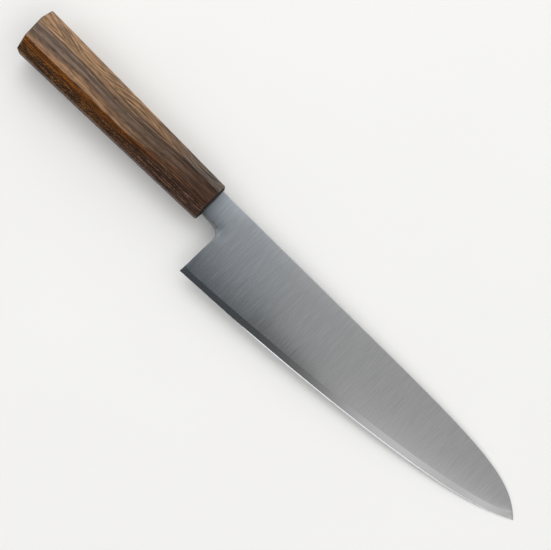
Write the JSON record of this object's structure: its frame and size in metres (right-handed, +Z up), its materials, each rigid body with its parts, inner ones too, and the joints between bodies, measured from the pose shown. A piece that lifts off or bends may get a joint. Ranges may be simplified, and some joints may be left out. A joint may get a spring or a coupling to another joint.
{
  "type": "gyuto knife",
  "caption": "Kitchen chef's knife with a wide satin steel blade, a hidden tang bedded in resin and an octagonal one-piece hardwood handle.",
  "frame": {"origin": "bottom centre of the bounding box of the knife lying on its side, handle axis level", "axes": "+X from the handle's butt to the blade's tip, +Y from the edge to the spine, +Z up out of the blade's right face"},
  "size_m": [0.3474, 0.0492, 0.022],
  "materials": {
    "blade_steel": "satin, brushed across the blade, with a polished edge bevel",
    "handle_wood": "oiled dark hardwood, satin, grain along the handle",
    "bedding_resin": "cured amber resin",
    "seal_wax": "dark sealing wax, matte"
  },
  "bodies": {
    "root": {"blade": "blade_steel", "handle": "handle_wood", "tang_bedding": "bedding_resin", "mouth_seal": "seal_wax"}
  },
  "joints": []
}
